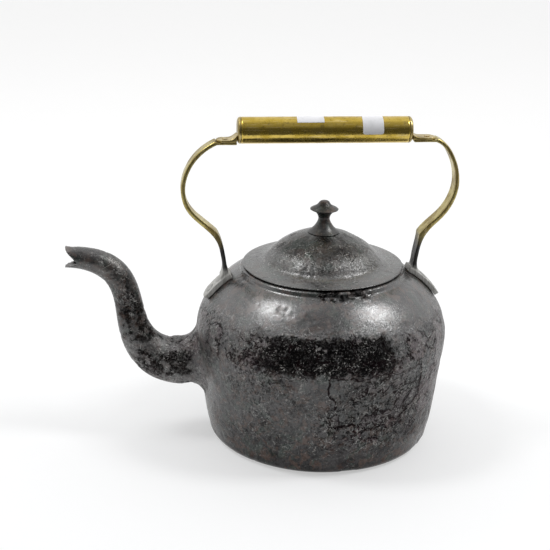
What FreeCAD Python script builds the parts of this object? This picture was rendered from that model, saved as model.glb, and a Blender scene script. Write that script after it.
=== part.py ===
import FreeCAD, Part
import math
import os

# Cast iron stove kettle with a lift-off lid and a fixed brass bow handle.
# Millimetres. Origin: centre of the underside of the base. +Z up, spout towards -X,
# handle bow in the plane Y = 0.

V = FreeCAD.Vector

# ---- driving dimensions: pot ----
BASE_R = 90.4             # flat of the underside
BASE_CORNER_R = 8.0
BELLY_R = 110.1           # widest radius, just under the shoulder
BELLY_Z = 95.0
COLLAR_FOOT = (71.7, 150.6)
POT_WALL = 3.5
FLOOR_T = 4.0
MOUTH_R = 66.0
RIM_Z = 154.6
RIM_FLAT_R = 68.6
COLLAR_R = 72.4

# ---- driving dimensions: lid ----
LID_GAP = 0.2             # between the lid's seat and the rim, before it settles
LID_R = 70.0
LID_EDGE_Z = 156.6
LID_WALL = 2.2
DOME_R = 64.5
DOME_CENTRE_Z = 121.7
DOME_FOOT_R = 50.0
BRIM_IN = (58.5, 158.2)
SKIRT_R = 64.6
SKIRT_WALL = 2.2
SKIRT_END_Z = 147.0
LID_SEAT_R = 67.4

# ---- driving dimensions: knob ----
KNOB_RIM_R = 12.4
KNOB_FOOT_R = 14.0
KNOB_TOP_Z = 212.8
KNOB_SCREW_R = 2.5
KNOB_SCREW_HOLE_R = 2.8
KNOB_SCREW_TOP_Z = 198.0
WASHER_R = 7.0
WASHER_T = 1.4
WASHER_GAP = 0.05         # between the washer and the inside of the crown
SCREW_HEAD_R = 5.0
SCREW_HEAD_L = 2.8
SCREW_SLOT_W, SCREW_SLOT_DEPTH = 1.2, 1.4

# ---- driving dimensions: spout ----
SPOUT_WALL = 3.2
SPIGOT_R = 18.5
SPIGOT_BORE_R = 15.5
SPIGOT_END_X = -101.0
SPOUT_Z = 66.8            # height of the spout's root
SPOUT_BLEND_R = 14.0      # fillet where the spout meets the pot
# Centre line of the goose-neck, tip first: (x, z, outer radius).
SPOUT_STATIONS = [(-224.0, 165.4, 9.4), (-214.0, 164.7, 9.6), (-203.5, 163.0, 10.1),
                  (-192.5, 159.3, 10.9), (-182.5, 152.6, 11.5), (-175.2, 142.8, 11.8),
                  (-170.5, 129.5, 12.0), (-168.0, 116.5, 12.5), (-165.2, 102.5, 13.6),
                  (-160.0, 89.0, 15.6), (-150.5, 76.8, 18.2), (-136.5, 69.0, 20.4),
                  (-121.0, SPOUT_Z, 21.5), (-86.0, SPOUT_Z, 21.8)]
# Side outline of the notch that opens the beak, from its inner corner: (x, z).
BEAK_NOTCH = [(-211.4, 161.0), (-222.4, 173.2), (-240.0, 180.0), (-240.0, 150.0),
              (-223.0, 150.0), (-222.6, 157.0), (-211.4, 161.0)]
# What is dressed off the top of the beak: a rounded corner, then straight sides.
BEAK_TRIM_ARC = [(-216.0, 176.5), (-221.0, 175.2), (-223.0, 171.0)]
BEAK_TRIM_SIDES = [(-223.0, 171.0), (-240.0, 171.0), (-240.0, 176.5), (-216.0, 176.5)]

# ---- driving dimensions: handle ----
ARM_W = 15.0
ARM_EDGE_R = 1.9          # rounding of the outer long edges, which makes a half-oval strap
LAP_T = 2.0               # thickness of each half of the lap between arm and grip bar
LAP_END = 93.6            # distance of the bar's rounded ends from the pot's axis
FOOT_W = 17.0
FOOT_T = 4.2
FOOT_GAP = 0.1            # between the foot and the shoulder it is riveted to
FOOT_RIVET_R = 2.5
FOOT_RIVET_HEAD_R = 4.2
FOOT_RIVET_HEAD_L = 2.0
FOOT_RIVET_TAIL_R = 4.4
FOOT_RIVET_STATIONS = (87.5, 95.5)
BURR_R = 5.5
BURR_T = 1.2
BURR_GAP = 0.45           # between the burr and the inside of the wall
LAP_RIVET_R = 2.2
LAP_RIVET_AT = 86.0

GRIP_Z = 274.5
GRIP_R = 11.3
GRIP_WALL = 1.0
GRIP_X0, GRIP_X1 = -72.8, 69.4     # seams between the tube and its end caps
CAP_T = 3.0
CAP_ROUND = 2.6
CAP_SPIGOT_R = 10.2
CAP_SPIGOT_L = 5.0
BAR_W = 12.0
BAR_Z = (267.7, 271.5)    # underside and top of the bar where it leaves the end caps
BAR_FIT = 0.05
BAR_NECK = 0.5            # from a cap's face to where the bar widens into its tongue

# Each arm: outline of its outer side from the lap down to the foot, as (distance from
# the pot's axis, height). The two hand-finished arms differ by a few millimetres.
FRONT_ARM = dict(
    side=-1.0, lap_z=263.4, lap_start=76.3, elbow=(92.3, 186.6),
    bow=[(94.2, 266.7), (101.8, 262.5), (113.4, 251.8), (121.6, 236.0), (123.4, 223.5),
         (119.6, 208.0), (109.2, 195.6), (97.6, 184.8)],
    leg_outer=[(92.4, 177.0), (88.9, 163.0), (87.7, 154.0), (90.0, 146.5)],
    leg_inner=[(88.0, 177.0), (85.0, 163.0), (83.0, 152.0), (79.6, 145.0)],
    foot=(79.4, 100.8))
REAR_ARM = dict(
    side=1.0, lap_z=264.8, lap_start=73.8, elbow=(83.0, 183.0),
    bow=[(94.2, 268.1), (101.4, 264.0), (109.6, 253.0), (115.0, 236.5), (115.5, 225.5),
         (111.9, 211.6), (103.0, 197.8), (91.4, 185.6)],
    leg_outer=[(86.6, 177.0), (83.5, 163.0), (83.0, 154.0), (86.0, 147.5)],
    leg_inner=[(82.4, 177.0), (79.9, 163.0), (78.1, 152.0), (75.0, 147.0)],
    foot=(74.2, 101.2))
ARM_T_BOW = 3.7
ARM_T_ELBOW = 4.9
ELBOW_BEGINS = 0.93       # share of the bow's length where the inner side leaves for the elbow
LAP_STEP_UNDER = 1.5      # from the bow's start to where the underside of the lap begins
LAP_STEP_TOP = 0.3
TOE_OUTER = (3.0, 9.0)    # how far the leg runs on inside the foot: in, down
TOE_INNER_DROP = 4.0

# The slips of paper on the grip: left edge, width, angles from the top, corner radius.
LABEL_GAP = 0.05
LABEL_T = 0.2
LOT_LABEL = dict(x=-26.1, width=22.8, top_angle=-20, front_angle=45, corner=0.0)
PRICE_LABEL = dict(x=29.0, width=17.7, top_angle=-14, front_angle=98, corner=2.0)

os.makedirs("parts", exist_ok=True)


# ---- helpers ----
def spline(points, start=None, end=None):
    """A smooth curve in the plane Y = 0 through (x, z) points."""
    curve = Part.BSplineCurve()
    vectors = [V(x, 0, z) for x, z in points]
    if start and end:
        curve.interpolate(Points=vectors, InitialTangent=V(start[0], 0, start[1]),
                          FinalTangent=V(end[0], 0, end[1]))
    else:
        curve.interpolate(Points=vectors)
    return curve


def polyline(points):
    """Straight edges through (x, z) points."""
    vectors = [V(x, 0, z) for x, z in points]
    return [Part.LineSegment(a, b).toShape() for a, b in zip(vectors, vectors[1:])]


def arc(a, middle, b):
    """An edge: the circular arc through three (x, z) points."""
    return Part.Arc(*[V(x, 0, z) for x, z in (a, middle, b)]).toShape()


def bezier(points):
    """An edge: the Bezier curve with (x, z) control points."""
    curve = Part.BezierCurve()
    curve.setPoles([V(x, 0, z) for x, z in points])
    return curve.toShape()


def face(edges):
    return Part.Face(Part.Wire(Part.__sortEdges__(edges)))


def turned(edges, axis=V(0, 0, 1), centre=V(0, 0, 0)):
    """A full solid of revolution of a closed outline."""
    return face(edges).revolve(centre, axis, 360)


def extruded(edges, width):
    """A closed outline in the plane Y = 0 made into a plate centred on it."""
    plate = face(edges).extrude(V(0, width, 0))
    plate.translate(V(0, -width / 2, 0))
    return plate


def ends(curve):
    """The (x, z) points where a curve starts and stops."""
    a, b = curve.value(curve.FirstParameter), curve.value(curve.LastParameter)
    return (a.x, a.z), (b.x, b.z)


def shifted(curve, distance, start=0.0, stop=1.0, count=24):
    """(x, z) points beside a curve. distance(s) is to the right of its direction."""
    first, last = curve.FirstParameter, curve.LastParameter
    points = []
    for i in range(count):
        s = start + (stop - start) * i / (count - 1)
        at = first + (last - first) * s
        p, t = curve.value(at), curve.tangent(at)[0]
        points.append((p.x + t.z * distance(s), p.z - t.x * distance(s)))
    return points


def save(name, shapes):
    """Writes one node: a solid, or a group of separate solids."""
    shapes = shapes if isinstance(shapes, list) else [shapes]
    for shape in shapes:
        if len(shape.Solids) != 1 or not shape.isValid():
            raise RuntimeError("%s: %d solids, valid %s" % (name, len(shape.Solids), shape.isValid()))
    solids = [shape.Solids[0] for shape in shapes]
    result = solids[0] if len(solids) == 1 else Part.makeCompound(solids)
    result.exportStep("parts/" + name + ".step")
    box = result.BoundBox
    print("%-26s %9.1f mm3  x %7.1f %7.1f  y %6.1f %6.1f  z %6.1f %6.1f" % (
        name, result.Volume, box.XMin, box.XMax, box.YMin, box.YMax, box.ZMin, box.ZMax))


# ---- pot ----
def pot_side():
    """The outer side of the pot, from the base corner up to the foot of its collar."""
    return spline([(BASE_R + BASE_CORNER_R, BASE_CORNER_R), (101.2, 20), (104.0, 40), (106.5, 60),
                   (108.7, 80), (BELLY_R, BELLY_Z), (109.6, 104), (106.4, 115), (100.9, 125),
                   (92.8, 135), (82.6, 144.2), COLLAR_FOOT], (0.25, 1), (-1, 0.5))


def pot_outside():
    """The pot as a full solid, which its wall, the spout and the feet are cut from."""
    side = pot_side()
    corner = BASE_CORNER_R * math.sqrt(0.5)
    corner_mid = (BASE_R + corner, BASE_CORNER_R - corner)
    low, high = ends(side)
    return turned(polyline([(0, high[1]), (0, 0), (BASE_R, 0)]) + [arc((BASE_R, 0), corner_mid, low)]
                  + [side.toShape()] + polyline([high, (0, high[1])]))


def pot_body(outside, rivet_holes):
    side = pot_side()
    inner = spline(shifted(side, lambda s: -POT_WALL, 0.03, 1.0))
    low, high = ends(inner)
    floor_r = BASE_R - POT_WALL
    corner_mid = ((floor_r + low[0]) / 2 + 1.9, (FLOOR_T + low[1]) / 2 - 1.9)
    cavity = turned(polyline([(0, high[1]), (0, FLOOR_T), (floor_r, FLOOR_T)])
                    + [arc((floor_r, FLOOR_T), corner_mid, low), inner.toShape()]
                    + polyline([high, (0, high[1])]))
    foot_r, foot_z = COLLAR_FOOT
    collar = turned(polyline([(MOUTH_R, foot_z - 4), (MOUTH_R, RIM_Z - 0.6), (MOUTH_R + 0.6, RIM_Z),
                              (RIM_FLAT_R, RIM_Z)])
                    + [arc((RIM_FLAT_R, RIM_Z), (71.4, RIM_Z - 0.7), (COLLAR_R, RIM_Z - 2.2)),
                       arc((COLLAR_R, RIM_Z - 2.2), (72.2, foot_z + 0.7), (foot_r + 0.2, foot_z - 0.1))]
                    + polyline([(foot_r + 0.2, foot_z - 0.1), (foot_r - 1, foot_z - 1.5),
                                (foot_r - 2, foot_z - 4), (MOUTH_R, foot_z - 4)]))
    mouth = Part.makeCylinder(MOUTH_R, 20, V(0, 0, RIM_Z - 15))
    spout_hole = Part.makeCylinder(SPIGOT_R, 20, V(-BELLY_R - 5, 0, SPOUT_Z), V(1, 0, 0))
    shell = outside.cut(cavity).fuse(collar).cut(mouth).cut(spout_hole)
    for hole in rivet_holes:
        shell = shell.cut(hole)
    return shell.removeSplitter()


# ---- spout ----
def goose_neck(stations):
    """A round tube along the spout's centre line, with its ends square to it."""
    line = spline([(x, z) for x, z, radius in stations], (1, -0.05), (1, 0))
    rings = []
    for x, z, radius in stations:
        at = line.parameter(V(x, 0, z))
        ring = Part.Circle(line.value(at), line.tangent(at)[0], radius)
        rings.append(Part.Wire([ring.toShape()]))
    return Part.makeLoft(rings, True, False)


def spout(outside):
    body = outside.fuse(goose_neck(SPOUT_STATIONS))
    seams = [edge for edge in body.Edges
             if edge.BoundBox.YLength > SPIGOT_R and edge.BoundBox.XMax < -90
             and edge.BoundBox.XMin > -BELLY_R - 1 and edge.BoundBox.ZLength > SPIGOT_R]
    # one half of the seam is enough: the blend runs on round the other half
    body = body.makeFillet(SPOUT_BLEND_R, seams[-1:])
    neck = max(body.cut(outside).Solids, key=lambda solid: solid.Volume)
    root_x = -BELLY_R - 4
    spigot = Part.makeCylinder(SPIGOT_R, SPIGOT_END_X - root_x, V(root_x, 0, SPOUT_Z), V(1, 0, 0))
    neck = neck.fuse(spigot)
    bore_stations = [(x, z, radius - SPOUT_WALL) for x, z, radius in SPOUT_STATIONS[:-1]]
    bore_stations[0] = (-230.0, SPOUT_STATIONS[0][1], SPOUT_STATIONS[0][2] - SPOUT_WALL + 0.8)
    bore_stations.append((SPIGOT_END_X + 2, SPOUT_Z, SPIGOT_BORE_R))
    neck = neck.cut(goose_neck(bore_stations))
    # the open beak: a notch through both sides leaves an upper and a lower lip
    beak = extruded(polyline(BEAK_NOTCH), 4 * SPIGOT_R)
    trim = extruded([arc(*BEAK_TRIM_ARC)] + polyline(BEAK_TRIM_SIDES), 4 * SPIGOT_R)
    return neck.cut(beak).cut(trim).removeSplitter()


# ---- lid ----
def dome_z(r, radius=DOME_R):
    return DOME_CENTRE_Z + math.sqrt(radius ** 2 - r ** 2)


def dome_arc(r0, r1, radius):
    middle = (r0 + r1) / 2
    return arc((r0, dome_z(r0, radius)), (middle, dome_z(middle, radius)), (r1, dome_z(r1, radius)))


def lid():
    under = DOME_R - LID_WALL
    hole = KNOB_SCREW_HOLE_R
    foot = (DOME_FOOT_R, dome_z(DOME_FOOT_R))
    in_foot = (DOME_FOOT_R - 1.6, dome_z(DOME_FOOT_R - 1.6, under))
    seat_z = RIM_Z + LID_GAP
    brim_under = (BRIM_IN[0] - 0.5, BRIM_IN[1] - LID_WALL)
    skirt_in = SKIRT_R - SKIRT_WALL
    skirt_root_z = brim_under[1] - 0.5
    edges = [dome_arc(hole, DOME_FOOT_R, DOME_R), bezier([foot, (52.6, 159.2), BRIM_IN])]
    edges += polyline([BRIM_IN, (LID_R - 0.6, LID_EDGE_Z)])
    edges.append(arc((LID_R - 0.6, LID_EDGE_Z), (LID_R, LID_EDGE_Z - 0.6),
                     (LID_R - 0.5, LID_EDGE_Z - 1.2)))
    edges += polyline([(LID_R - 0.5, LID_EDGE_Z - 1.2), (LID_SEAT_R, seat_z), (SKIRT_R, seat_z),
                       (SKIRT_R, SKIRT_END_Z), (skirt_in, SKIRT_END_Z), (skirt_in, skirt_root_z),
                       brim_under])
    edges.append(bezier([brim_under, (51.0, 156.9), in_foot]))
    edges.append(dome_arc(hole, in_foot[0], under))
    edges += polyline([(hole, dome_z(hole, under)), (hole, dome_z(hole))])
    return turned(edges)


def lid_knob():
    """A turned mushroom knob with a trumpet foot that sits on the crown of the lid."""
    foot_z = dome_z(KNOB_FOOT_R)
    flare = spline([(KNOB_FOOT_R, foot_z + 0.5), (9.4, 188.6), (6.6, 192.4), (5.0, 197.0),
                    (6.4, 200.9), (KNOB_RIM_R - 0.3, 204.6)])
    cap = spline([(KNOB_RIM_R, 205.3), (8.8, 207.4), (5.9, 209.4), (4.2, 211.6), (0, KNOB_TOP_Z)],
                 (-0.6, 0.45), (-1, 0))
    solid = turned(polyline([(0, foot_z - 2), (KNOB_FOOT_R, foot_z - 2), (KNOB_FOOT_R, foot_z + 0.5)])
                   + [flare.toShape()] + polyline([(KNOB_RIM_R - 0.3, 204.6), (KNOB_RIM_R, 205.3)])
                   + [cap.toShape()] + polyline([(0, KNOB_TOP_Z), (0, foot_z - 2)]))
    crown = Part.makeSphere(DOME_R + 0.02, V(0, 0, DOME_CENTRE_Z))
    tapped = Part.makeCylinder(KNOB_SCREW_R, KNOB_SCREW_TOP_Z - 180, V(0, 0, 180))
    return solid.cut(crown).cut(tapped)


def washer_top():
    return dome_z(WASHER_R, DOME_R - LID_WALL) - WASHER_GAP


def knob_washer():
    top = washer_top()
    ring = Part.makeCylinder(WASHER_R, WASHER_T, V(0, 0, top - WASHER_T))
    return ring.cut(Part.makeCylinder(KNOB_SCREW_HOLE_R, 4, V(0, 0, top - 3)))


def knob_screw():
    """A slotted round-head screw, put in from under the lid."""
    top = washer_top() - WASHER_T
    end_z = top - SCREW_HEAD_L
    wide = 2 * SCREW_HEAD_R + 2
    keep = Part.makeBox(wide, wide, SCREW_HEAD_L, V(-wide / 2, -wide / 2, end_z))
    head = Part.makeSphere(SCREW_HEAD_R, V(0, 0, top)).common(keep)
    shank = Part.makeCylinder(KNOB_SCREW_R, KNOB_SCREW_TOP_Z - top - 0.5, V(0, 0, top))
    slot = Part.makeBox(wide, SCREW_SLOT_W, SCREW_SLOT_DEPTH, V(-wide / 2, -SCREW_SLOT_W / 2, end_z))
    return head.fuse(shank).cut(slot).removeSplitter()


# ---- handle arms ----
def mirrored(shape, side):
    """Puts a piece drawn on the +X side on its own side of the pot."""
    return shape if side > 0 else shape.mirror(V(0, 0, 0), V(1, 0, 0))


def shoulder_at(r):
    """Point and outward normal of the shoulder at a radius, above the belly."""
    side = pot_side()
    low, high = side.parameter(V(BELLY_R, 0, BELLY_Z + 6)), side.LastParameter
    for _ in range(40):
        middle = (low + high) / 2
        low, high = (middle, high) if side.value(middle).x > r else (low, middle)
    t = side.tangent(low)[0]
    return side.value(low), V(t.z, 0, -t.x)


def foot_plate(arm):
    """A tongue that follows the slope of the shoulder, flat across its width."""
    side = pot_side()
    r_top, r_end = arm["foot"]
    params = [side.parameter(shoulder_at(r)[0]) for r in (r_end, r_top)]
    span = side.LastParameter - side.FirstParameter
    start, stop = [(p - side.FirstParameter) / span for p in params]
    under = spline(shifted(side, lambda s: FOOT_GAP, start, stop, 12))
    top = spline(shifted(side, lambda s: FOOT_GAP + FOOT_T, start, stop, 12))
    (u0, u1), (t0, t1) = ends(under), ends(top)
    plate = extruded([under.toShape(), top.toShape()] + polyline([u0, t0]) + polyline([u1, t1]), FOOT_W)
    # rounded far end: a round-ended prism square to the slope
    end, normal = shoulder_at(r_end)
    along = V(-normal.z, 0, normal.x)
    centre = end + along * (FOOT_W / 2 - 0.4) - normal * 20
    disc = Part.makeCylinder(FOOT_W / 2, 40, centre, normal)
    strip = Part.makeBox(60, FOOT_W, 40)
    strip.translate(V(0, -FOOT_W / 2, 0))
    turn = FreeCAD.Rotation(along, V(0, 1, 0), normal, "XZY")
    strip.Placement = FreeCAD.Placement(centre, turn).multiply(strip.Placement)
    return plate.common(disc.fuse(strip))


def arm_strap(arm):
    """The bow, the sharp elbow and the leg, as one strap with a half-oval section."""
    bow, (elbow_x, elbow_z) = arm["bow"], arm["elbow"]
    outer = spline(bow + arm["leg_outer"])
    bow_end = (outer.parameter(V(bow[-1][0], 0, bow[-1][1])) - outer.FirstParameter) / (
        outer.LastParameter - outer.FirstParameter)

    def thickness(s):
        return ARM_T_BOW - 0.2 + (ARM_T_ELBOW - ARM_T_BOW) * (s / bow_end) ** 2

    inner_points = shifted(outer, thickness, 0.0, bow_end * ELBOW_BEGINS, 16)
    inner = spline(inner_points + [(elbow_x, elbow_z)])
    leg = spline([(elbow_x, elbow_z)] + arm["leg_inner"])
    lap_top, lap_z = arm["lap_z"] + LAP_T, arm["lap_z"]
    start, toe_o, toe_i = bow[0], arm["leg_outer"][-1], arm["leg_inner"][-1]
    lap = polyline([inner_points[0], (start[0] - LAP_STEP_UNDER, lap_z), (arm["lap_start"], lap_z),
                    (arm["lap_start"], lap_top), (start[0] - LAP_STEP_TOP, lap_top), start])
    toe = polyline([toe_o, (toe_o[0] - TOE_OUTER[0], toe_o[1] - TOE_OUTER[1]),
                    (toe_i[0], toe_i[1] - TOE_INNER_DROP), toe_i])
    strap = extruded([outer.toShape(), inner.toShape(), leg.toShape()] + lap + toe, ARM_W)
    long_edges = [edge for edge in strap.Edges if edge.Length > 120 and edge.BoundBox.YLength < 0.01
                  and edge.BoundBox.XMax > max(x for x, z in bow) - 0.5]
    return strap.makeFillet(ARM_EDGE_R, long_edges)


def foot_rivet(r, clearance=0.0, with_tail=True):
    """A countersunk rivet square to the shoulder, its tail closed over a burr inside."""
    at, normal = shoulder_at(r)
    top = FOOT_GAP + FOOT_T
    burr_z = -POT_WALL - BURR_GAP - BURR_T
    head_z = top - FOOT_RIVET_HEAD_L
    shank_r = FOOT_RIVET_R + clearance
    shank = Part.makeCylinder(shank_r, top - burr_z, at + normal * burr_z, normal)
    head = Part.makeCone(shank_r, FOOT_RIVET_HEAD_R + clearance, FOOT_RIVET_HEAD_L,
                         at + normal * head_z, normal)
    rivet = shank.fuse(head)
    if with_tail:
        tail = Part.makeSphere(FOOT_RIVET_TAIL_R, at + normal * (burr_z + 2 * BURR_T))
        keep = Part.makeCylinder(6, 4, at + normal * (burr_z - 4), normal)
        rivet = rivet.fuse(tail.common(keep))
    return rivet.removeSplitter()


def foot_burr(r):
    at, normal = shoulder_at(r)
    base = at + normal * (-POT_WALL - BURR_GAP - BURR_T)
    return Part.makeCylinder(BURR_R, BURR_T, base, normal).cut(
        Part.makeCylinder(FOOT_RIVET_R, BURR_T, base, normal))


def lap_rivet(arm):
    """A short rivet through both halves of the lap, dressed almost flush."""
    z0, z1 = arm["lap_z"], arm["lap_z"] + 2 * LAP_T
    shank = Part.makeCylinder(LAP_RIVET_R, z1 - z0 + 0.6, V(LAP_RIVET_AT, 0, z0 - 0.3))
    return mirrored(shank, arm["side"])


def handle_arm(arm, outside):
    strap = arm_strap(arm).cut(outside)
    strap = max(strap.Solids, key=lambda solid: solid.Volume)
    piece = strap.fuse(foot_plate(arm))
    for r in FOOT_RIVET_STATIONS:
        piece = piece.cut(foot_rivet(r, 0.0, False))
    piece = mirrored(piece.removeSplitter(), arm["side"])
    return piece.cut(lap_rivet(arm))


# ---- grip ----
def grip_tube():
    length = GRIP_X1 - GRIP_X0
    tube = Part.makeCylinder(GRIP_R, length, V(GRIP_X0, 0, GRIP_Z), V(1, 0, 0))
    return tube.cut(Part.makeCylinder(GRIP_R - GRIP_WALL, length, V(GRIP_X0, 0, GRIP_Z), V(1, 0, 0)))


def cap_face_of(arm):
    """Distance of an end cap's outer face from the pot's axis."""
    return abs(GRIP_X1 if arm["side"] > 0 else GRIP_X0) + CAP_T


def bar_side(arm):
    """Side outline of the bar's flattened end, out from the middle of the grip."""
    lap_top, end_top = arm["lap_z"] + LAP_T, arm["lap_z"] + 2 * LAP_T
    neck_x, flat_x, past_x = cap_face_of(arm) + BAR_NECK, cap_face_of(arm) + 8.0, LAP_END + 4.0
    low, high = BAR_Z
    return polyline([(flat_x, end_top), (past_x, end_top), (past_x, lap_top), (neck_x, lap_top),
                     (neck_x, low), (0, low), (0, high), (neck_x, high)]) + [
        bezier([(neck_x, high), (neck_x + 4.0, end_top), (flat_x, end_top)])]


def bar_plan(arm):
    """Plan of the same end: a narrow shank inside the tube, a strap-wide tongue outside."""
    wide, narrow = ARM_W / 2, BAR_W / 2
    neck_x, tip_x = cap_face_of(arm) + BAR_NECK, LAP_END - 4.5
    points = [V(0, narrow, 0), V(neck_x, narrow, 0), V(neck_x, wide, 0), V(tip_x, wide, 0)]
    near = [V(p.x, -p.y, 0) for p in points]
    edges = [Part.LineSegment(a, b).toShape() for row in (points, near) for a, b in zip(row, row[1:])]
    edges.append(Part.LineSegment(points[0], near[0]).toShape())
    edges.append(Part.Arc(points[-1], V(LAP_END, 0, 0), near[-1]).toShape())
    plan = face(edges).extrude(V(0, 0, 40))
    plan.translate(V(0, 0, 250))
    return plan


def grip_core_bar():
    halves = [mirrored(extruded(bar_side(arm), ARM_W + 2).common(bar_plan(arm)), arm["side"])
              for arm in (FRONT_ARM, REAR_ARM)]
    bar = halves[0].fuse(halves[1]).removeSplitter()
    for arm in (FRONT_ARM, REAR_ARM):
        bar = bar.cut(lap_rivet(arm))
    return bar


def grip_end_cap(arm):
    """A cupped disc with a rounded edge, slotted for the bar, with a spigot in the tube."""
    face_x = cap_face_of(arm)
    seam = face_x - CAP_T
    r, k = GRIP_R, CAP_ROUND
    turn = k * math.sqrt(0.5)
    outline = polyline([(seam - CAP_SPIGOT_L, CAP_SPIGOT_R), (seam, CAP_SPIGOT_R), (seam, r),
                        (face_x - k, r)])
    outline.append(arc((face_x - k, r), (face_x - k + turn, r - k + turn), (face_x, r - k)))
    outline += polyline([(face_x, r - k), (face_x, 0), (seam + 1, 0), (seam + 1, CAP_SPIGOT_R - 1.2),
                         (seam - CAP_SPIGOT_L, CAP_SPIGOT_R - 1.2), (seam - CAP_SPIGOT_L, CAP_SPIGOT_R)])
    cap = turned(outline, V(1, 0, 0))
    cap.translate(V(0, 0, GRIP_Z))
    low, high = BAR_Z
    slot = Part.makeBox(20, BAR_W + 2 * BAR_FIT, high - low + 2 * BAR_FIT,
                        V(seam - 10, -BAR_W / 2 - BAR_FIT, low - BAR_FIT))
    return mirrored(cap.cut(slot), arm["side"])


def blank_label(x, width, top_angle, front_angle, corner):
    """A blank slip of paper bent round the grip. Angles are from the top, to the front."""
    r0, r1 = GRIP_R + LABEL_GAP, GRIP_R + LABEL_GAP + LABEL_T
    sheet = Part.makeCylinder(r1, width, V(x, 0, 0), V(1, 0, 0)).cut(
        Part.makeCylinder(r0, width, V(x, 0, 0), V(1, 0, 0)))
    wedge_points = [V(0, 0, 0)]
    for i in range(9):
        a = math.radians(top_angle + (front_angle - top_angle) * i / 8)
        wedge_points.append(V(0, -30 * math.sin(a), 30 * math.cos(a)))
    wedge = Part.Face(Part.makePolygon(wedge_points + [wedge_points[0]])).extrude(V(width, 0, 0))
    wedge.translate(V(x, 0, 0))
    sheet = sheet.common(wedge)
    if corner:
        long_edges = [edge for edge in sheet.Edges if abs(edge.Length - LABEL_T) < 0.01
                      and edge.BoundBox.ZMax < 4]
        sheet = sheet.makeFillet(corner, long_edges)
    sheet.translate(V(0, 0, GRIP_Z))
    return sheet


def main():
    outside = pot_outside()
    arms = {"front": FRONT_ARM, "rear": REAR_ARM}
    holes = []
    for arm in arms.values():
        for r in FOOT_RIVET_STATIONS:
            at, normal = shoulder_at(r)
            hole = Part.makeCylinder(FOOT_RIVET_R, 12, at - normal * 8, normal)
            holes.append(mirrored(hole, arm["side"]))
    save("pot_body", pot_body(outside, holes))
    save("spout", spout(outside))
    save("lid", lid())
    save("lid_knob", lid_knob())
    save("knob_washer", knob_washer())
    save("knob_screw", knob_screw())
    for name, arm in arms.items():
        save("handle_arm_" + name, handle_arm(arm, outside))
        save(name + "_foot_rivets", [mirrored(foot_rivet(r), arm["side"]) for r in FOOT_RIVET_STATIONS])
        save(name + "_foot_burrs", [mirrored(foot_burr(r), arm["side"]) for r in FOOT_RIVET_STATIONS])
        save(name + "_lap_rivet", lap_rivet(arm))
        save("grip_end_cap_" + name, grip_end_cap(arm))
    save("grip_core_bar", grip_core_bar())
    save("grip_tube", grip_tube())
    save("blank_lot_label", blank_label(**LOT_LABEL))
    save("blank_price_label", blank_label(**PRICE_LABEL))


main()
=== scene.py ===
import math

import bmesh
import bpy
import numpy as np
from mathutils import Matrix, Vector, noise


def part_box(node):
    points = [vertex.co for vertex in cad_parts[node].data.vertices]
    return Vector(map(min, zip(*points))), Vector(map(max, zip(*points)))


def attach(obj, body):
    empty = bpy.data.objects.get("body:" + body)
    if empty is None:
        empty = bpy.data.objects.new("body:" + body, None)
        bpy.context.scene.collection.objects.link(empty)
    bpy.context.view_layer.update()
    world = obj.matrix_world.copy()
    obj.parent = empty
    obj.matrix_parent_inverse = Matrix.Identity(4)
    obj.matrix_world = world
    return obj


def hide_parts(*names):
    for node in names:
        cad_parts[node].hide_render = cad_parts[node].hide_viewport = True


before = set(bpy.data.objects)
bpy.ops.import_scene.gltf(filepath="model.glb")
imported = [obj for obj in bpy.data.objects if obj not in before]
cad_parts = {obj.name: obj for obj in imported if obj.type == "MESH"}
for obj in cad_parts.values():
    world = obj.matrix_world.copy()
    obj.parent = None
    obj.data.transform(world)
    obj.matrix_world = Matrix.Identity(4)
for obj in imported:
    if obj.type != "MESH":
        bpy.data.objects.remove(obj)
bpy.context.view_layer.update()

MM = 0.001
KETTLE, LID = "kettle", "lid"

# ---- camera, in metres and degrees ----
CAMERA_AZIMUTH = -6.26
CAMERA_ELEVATION = 19.71
CAMERA_ROLL = 1.13
CAMERA_DISTANCE = 1.1
CAMERA_TARGET = (-0.04105, 0.0045, 0.1437)
CAMERA_LENS = 82.08

# ---- studio ----
FLOOR_FRONT_Y = -0.46     # the paper ends here, out of view, and the dark room begins
FLOOR_BACK_Y = 6.0
FLOOR_HALF_X = 5.0
ROOM_DARK = 0.10
SKY_BACK = 1.0
SKY_TOP = 0.95
SKY_TOP_FRONT = 0.42
# each window: name, place, size, power in watts
WINDOWS = (("left_window", (-0.85, 0.06, 1.49), (0.34, 0.44), 6.8),
           ("right_window", (0.93, -0.20, 1.37), (0.34, 0.46), 8.5))
WINDOWS_AIM = (0.0, 0.0, 0.14)
PAPER_GLOW = 0.43         # painted light: the paper glows as if thin and lit from below as well
# painted light: the paper's colour is darker near the front than far back
FLOOR_NEAR_PAINTED_SHADE = (0.515, 0.52, 0.525)
FLOOR_FAR_PAINTED_LIGHT = (0.65, 0.65, 0.65)

# ---- iron ----
IRON_IOR = 2.1            # the glassy black oxide skin reflects more than paint would
MATT_SHARE = 0.45         # how much of its gloss the sooty part of a piece has lost
LID_RUST = 0.75           # depth of rust, as a share of the pot's
KNOB_RUST = 0.45
DEEPEST_RUST = 2.2        # mm
FAR_FROM_PLATE = 9.0      # mm; the fallen plate's distance is cut off here

# ---- mesh spacing, in millimetres ----
POT_STEP = 1.6
POT_INSIDE_STEP = 5.0
POT_SEGMENTS = 448
LID_STEP = 1.0
LID_SEGMENTS = 440
KNOB_STEP = 0.45
KNOB_SEGMENTS = 150
GRIP_STEP = 1.2
CAP_STEP = 0.35
GRIP_SEGMENTS = 160
SPOUT_VOXEL = 0.95
ARM_VOXEL = 0.55

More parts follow.
